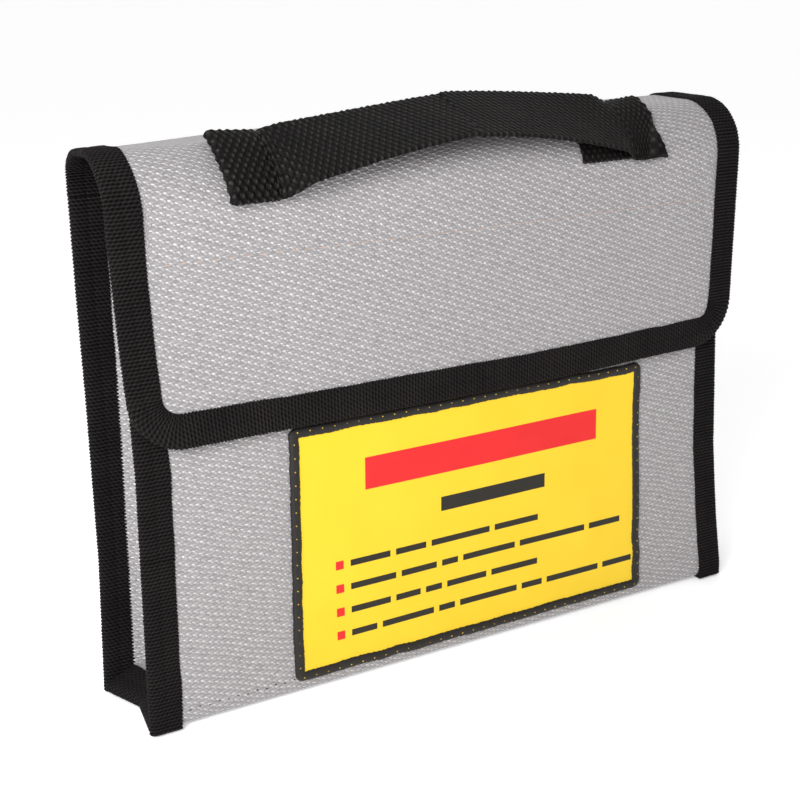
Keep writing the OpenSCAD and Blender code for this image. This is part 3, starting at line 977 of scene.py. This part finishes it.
gusset_sheets = []      # each sheet with its flat width, length and area
for side, word in SIDES:
    place = pleat_at(side)
    rows = evenly(GUSSET_LOW, MOUTH_Z - HEM_GAP, CLOTH_GRID)
    hinge_x, hinge_y = -REAR_HINGE[0], REAR_HINGE[1]
    blends = {"rear": ("back", f"{word}_rear_leaf", (side * (hinge_x + 1.2), hinge_y + 2.1, 0),
                       (side * (hinge_x - 1.4), hinge_y - 0.5, 0)),
              "front": (f"{word}_rear_leaf", f"{word}_front_leaf", (side * -CREASE[0], 2.4, 0),
                        (side * -CREASE[0], -2.4, 0))}
    runs, leaves = {"rear": PLEAT_RUN[:PLEAT_SPLIT + 1], "front": PLEAT_RUN[PLEAT_SPLIT:]}, []
    for part, run in runs.items():
        leaf = slab(f"gusset_{word}_{part}_cloth", run, rows, place, CLOTH_T, top=CLOTH_T / 2)
        dress(leaf, BODY_CLOTH, [f"gusset_{word}_{part}"], blend=blends[part])
        leaves.append((leaf, run[-1] - run[0], MOUTH_Z - HEM_GAP - GUSSET_LOW, None))
    for part, low, high in (("rear", 3.2, runs["rear"][-1]),
                            ("front", runs["front"][0], PLEAT_RUN[-1] - 7.2)):
        bind(f"mouth_{word}_{part}_tape", [(high, MOUTH_TAPE_Z), (low, MOUTH_TAPE_Z)], place, HEM_T - 0.5, 0,
             f"mouth_binding_{word}_{part}", blend=blends[part], seed=31 + side)
    inner, share = PLEAT_RUN[(PLEAT_RUN > 2.6) & (PLEAT_RUN < PLEAT_RUN[-1] - 2.6)], np.linspace(0, 1, 7)
    foot = slab(f"gusset_{word}_foot_cloth", inner[::2], share, foot_at(side), 0.8, v=16 * share)
    squash_base(dress(foot, BODY_CLOTH, body="back"))
    cut = foot_at(side)(inner[None, :], share[:, None], 0)
    lower, upper, slope = steps(cut[0]).sum(), steps(cut[-1]).sum(), steps(cut).sum(0).mean()
    gusset_sheets += [(foot, upper, slope, (upper + lower) / 2 * slope * MM ** 2), *leaves]


# ---- Flap ----
rear_s = evenly(0, TOP_MEET, 1.0)
flap_rear = slab("flap_rear_cloth", wide, rear_s, flap_at, CLOTH_T, v=-rear_s)
HINGE_BLEND = ("back", "flap_top", (0, BACK_Y, HINGE[2] - 5), (0, BACK_Y, HINGE[2] + 4))
FOLD_BLEND = ("flap_top", "flap_front", (0, FLAP_Y, FOLD[2] + 5), (0, FLAP_Y, FOLD[2] - 5))
dress(flap_rear, FLAP_CLOTH, ["flap_top"], blend=HINGE_BLEND)

LOW_S = flap_z(FLAP_LOW)


def flap_edge(s):
    """Half width of the flap's cloth, inside its tape, as it rounds its lower corners."""
    r = CORNER_R - HEM_GAP
    return EDGE_W - r * tuck(np.clip((s - (LOW_S - HEM_GAP - r)) / r, 0, 1))


def flap_sheet(x, s, out):
    """The flap's front cloth; at the fold its edge draws in under the tape, or folding pushes it through."""
    x = x * flap_edge(s) / EDGE_W
    drawn_in = 0.78 * np.exp(-((s - flap_z(FOLD[2])) / 9) ** 4)
    beyond = np.maximum(np.abs(x) - (HALF_W - TAPE_W - 1.5), 0)
    return flap_at(x - np.sign(x) * drawn_in * beyond, s, out)


front_s = np.concatenate([evenly(TOP_MEET, FLAP_RUNS[4], 1.0), evenly(FLAP_RUNS[4] + 1.5, LOW_S - 16, 2.5),
                          LOW_S - 1.8 - 13.6 * (1 - np.sin(np.linspace(0.05, QUARTER, 12)))])
fine = evenly(-EDGE_W, EDGE_W, 2.2)
flap_front = slab("flap_front_cloth", fine, front_s, flap_sheet, CLOTH_T, v=-front_s)
dress(flap_front, FLAP_CLOTH, ["flap_front"], blend=FOLD_BLEND)

bind_sides("flap_binding_{}_rear_tape", "flap_binding_top_{}", 0, TOP_MEET, flap_at, HEM_T, -CLOTH_T / 2, 41,
           blend=HINGE_BLEND, lead=(FLANGE_T, -CLOTH_T, 20))


def flap_outline():
    """The tape's middle line down the right side, round the lower corners and up the left."""
    half, r, low = HALF_W - TAPE_W / 2, CORNER_R - TAPE_W / 2, LOW_S - TAPE_W / 2
    quarter = np.linspace(0, QUARTER, 40)
    line = [(half, TOP_MEET)]
    line += [(half - r + r * math.cos(a), low - r + r * math.sin(a)) for a in quarter]
    line += [(-half + r - r * math.sin(a), low - r + r * math.cos(a)) for a in quarter]
    return line + [(-half, TOP_MEET)]


bind("flap_binding_front_tape", flap_outline(), flap_at, HEM_T, -CLOTH_T / 2, "flap_binding_front",
     blend=FOLD_BLEND, seed=51)

hook_s = evenly(flap_z(HOOK_HIGH[2]), LOW_S - TAPE_W - 0.5, PILE_GRID)


def hook_at(x, s, out):
    """The hook strip, which keeps inside the tape round the flap's lower corners."""
    r = CORNER_R - TAPE_W
    wide_here = HOOK_HIGH[0] - r * tuck(np.clip((s - (hook_s[-1] - r)) / r, 0, 1))
    return flap_at(x * wide_here / HOOK_HIGH[0], s, out)


hooks = slab("hook_strip_pile", evenly(-HOOK_HIGH[0], HOOK_HIGH[0], PILE_GRID), hook_s, hook_at, 0.95,
             top=-CLOTH_T)
dress(hooks, HOOK, ["hook_strip"], "flap_front")
tan_seam = sewn("hook_seam_stitches", flap_at, np.arange(-21, 22) * 4.4, flap_z(THREAD_Z), 0.03,
                (3.0, 0.34, 0.22))
dress(tan_seam, TAN, ["hook_seam_thread"], "flap_front")


# ---- Handle ----
WEB_HALF = 12.5     # half the webbing's width


def web_bumps(along, across, shift=0):
    """Height of the webbing's coarse weave; its underside is shifted by a knot."""
    column = np.floor(across / WEB_PITCH + 0.5)
    inside = across / WEB_PITCH - column
    wave = np.sin(math.pi * (along / WEB_STEP + column + shift))
    return 0.26 * np.maximum(wave, -0.55) * np.cos(math.pi * inside) ** 0.7 - 0.1 * np.abs(2 * inside) ** 4


def strap_middle(x):
    """Middle of the webbing at x, with its tilt: an arch between the sewn ends."""
    share = np.clip(np.abs(x) / SEAM_X, 0, 1.4) ** 2
    y = -16.4 - 0.3 * share
    z = 167.9 - 7.4 * share ** np.where(x < 0, 0.64, 0.76)
    tilt = np.radians(np.where(x < 0, 22 + 14 * share, 25 + 16 * share))
    return y, z, tilt


def web_arch(x, v, out):
    y, z, tilt = strap_middle(x)
    return points(x, y + v * np.cos(tilt) - out * np.sin(tilt), z + v * np.sin(tilt) + out * np.cos(tilt))


def web_sewn(x, v, out):
    """Webbing that lies along the flap's front fold: v runs up and back round the fold."""
    centre = FLAP_RUNS[3] + math.radians(45) * FRONT_R
    stiff = 0.9 * (v / WEB_HALF) ** 2 * smooth(np.abs(x), SEAM_X - 2, TAB_OUT)
    return flap_at(x, centre + 0.7 * (x < 0) - v * 0.93, out + stiff)


def web_pressed(x, out):
    """The seam presses the webbing down."""
    return out - 0.5 * np.exp(-((np.abs(x) - SEAM_X - 0.8) / 0.9) ** 2)


def web_top(x, v, out):
    """The upper layer: the free arch runs over into the sewn end."""
    w = smooth(np.abs(x), SEAM_X - 6, SEAM_X + 2)[..., None]
    out = web_pressed(x, out)
    return web_arch(x, v, out) * (1 - w) + web_sewn(x, v, out + 1.5 * WEB_T) * w


WEB_EDGE = 0.8      # the webbing's edges round off over this width
ACROSS = np.concatenate([[-WEB_HALF, -WEB_HALF + 0.12, -WEB_HALF + 0.4],
                         evenly(-WEB_HALF + WEB_EDGE, WEB_HALF - WEB_EDGE, WEB_GRID),
                         [WEB_HALF - 0.4, WEB_HALF - 0.12, WEB_HALF]])
ROUND = np.sqrt(np.clip(1 - ((np.abs(ACROSS) - (WEB_HALF - WEB_EDGE)) / WEB_EDGE).clip(0) ** 2, 0.02, 1))


def web(name, along, place):
    """A length of webbing; place(along, across, out) maps it, along is the distance on the webbing."""
    a, v = np.meshgrid(along, ACROSS, indexing="ij")
    edge = 0.14 * np.sin(2 * math.pi * a / WEB_PITCH) * (ROUND < 0.9) * np.sign(v)
    half = WEB_T / 2 - 0.16
    top = place(a, v + edge, (half + web_bumps(a, v)) * ROUND)
    low = place(a, v + edge, -(half + web_bumps(a, v, 1)) * ROUND)
    rings = np.concatenate([top, low[:, ::-1]], 1)
    u = np.concatenate([ACROSS, ACROSS[::-1], ACROSS[:1]])
    return loft(name, rings, u, along, sharp=70)


REACH = TAB_OUT - WEB_T / 2 - 0.6       # where the sewn end turns under
TURN = WEB_T / 2 * math.pi              # length of the turn


def folded(side):
    """Maps a sewn end: out along the top, round the fold and back underneath."""
    def place(a, v, out):
        phase = np.clip((a - REACH) / TURN, 0, 1) * math.pi
        back = np.clip(a - REACH - TURN, 0, None)
        skew = np.clip((3 - v) / 15.5, 0, 1) if side > 0 else 0 * v      # the right end is folded askew
        end = REACH - 0.8 * (side > 0)
        upper_end, lower_end = end - 8.0 * skew, end + 1.2 * skew
        x = SEAM_X + (np.minimum(a, REACH) - SEAM_X) * (upper_end - SEAM_X) / (REACH - SEAM_X)
        x = x + (lower_end - upper_end) * (1 - np.cos(phase)) / 2 - back + np.sin(phase) * (WEB_T / 2 + out)
        lift = np.where(phase > 0, WEB_T + np.cos(phase) * (WEB_T / 2 + out),
                        1.5 * WEB_T + web_pressed(x, out))
        w = smooth(x, SEAM_X - 6, SEAM_X + 2)[..., None]
        sewn_end = web_sewn(side * x, v + 0.5 * (back > 0), lift)
        free = web_arch(side * x, v, np.where(phase > 0, out, web_pressed(x, out)))
        return np.where((back <= 0)[..., None], free * (1 - w) + sewn_end * w, sewn_end)
    return place


strap = web("handle_strap_web", evenly(-STRAP_HALF, STRAP_HALF, WEB_GRID), web_top)
dress(strap, WEBBING, ["handle_strap"], "handle")
for side, word in SIDES:
    low, high = sorted((side * STRAP_HALF, side * SEAM_X))
    neck = web(f"handle_neck_{word}_web", evenly(low, high, WEB_GRID), web_top)
    dress(neck, WEBBING, [f"handle_neck_{word}"],
          blend=("flap_top", "handle", (side * (SEAM_X - 2), 0, 160), (side * (STRAP_HALF + 1), 0, 160)))
    length = (REACH - SEAM_X) + TURN + (REACH - (SEAM_X if side < 0 else TUCK_X))
    tab = web(f"handle_tab_{word}_web", SEAM_X + evenly(0, length, WEB_GRID), folded(side))
    dress(tab, WEBBING, [f"handle_tab_{word}"], "flap_top")

# Two rows of stitches across the webbing at either end
seam_at = np.repeat([side * (SEAM_X + row) for side, _ in SIDES for row in (0.4, 1.5)], 9)
seam_v = np.tile(np.arange(-10, 10.1, 2.5), 4)
handle_seam = sewn("handle_seam_stitches", lambda v, x, out: web_top(x, v, out), seam_v, seam_at,
                   WEB_T / 2 + 0.05, (1.7, 0.42, 0.22))
dress(handle_seam, BLACK_THREAD, ["handle_seam_thread"], "flap_top")


low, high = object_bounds()
{"cad": [list(cad_low), list(cad_high)], "visual": [list(low), list(high)]}
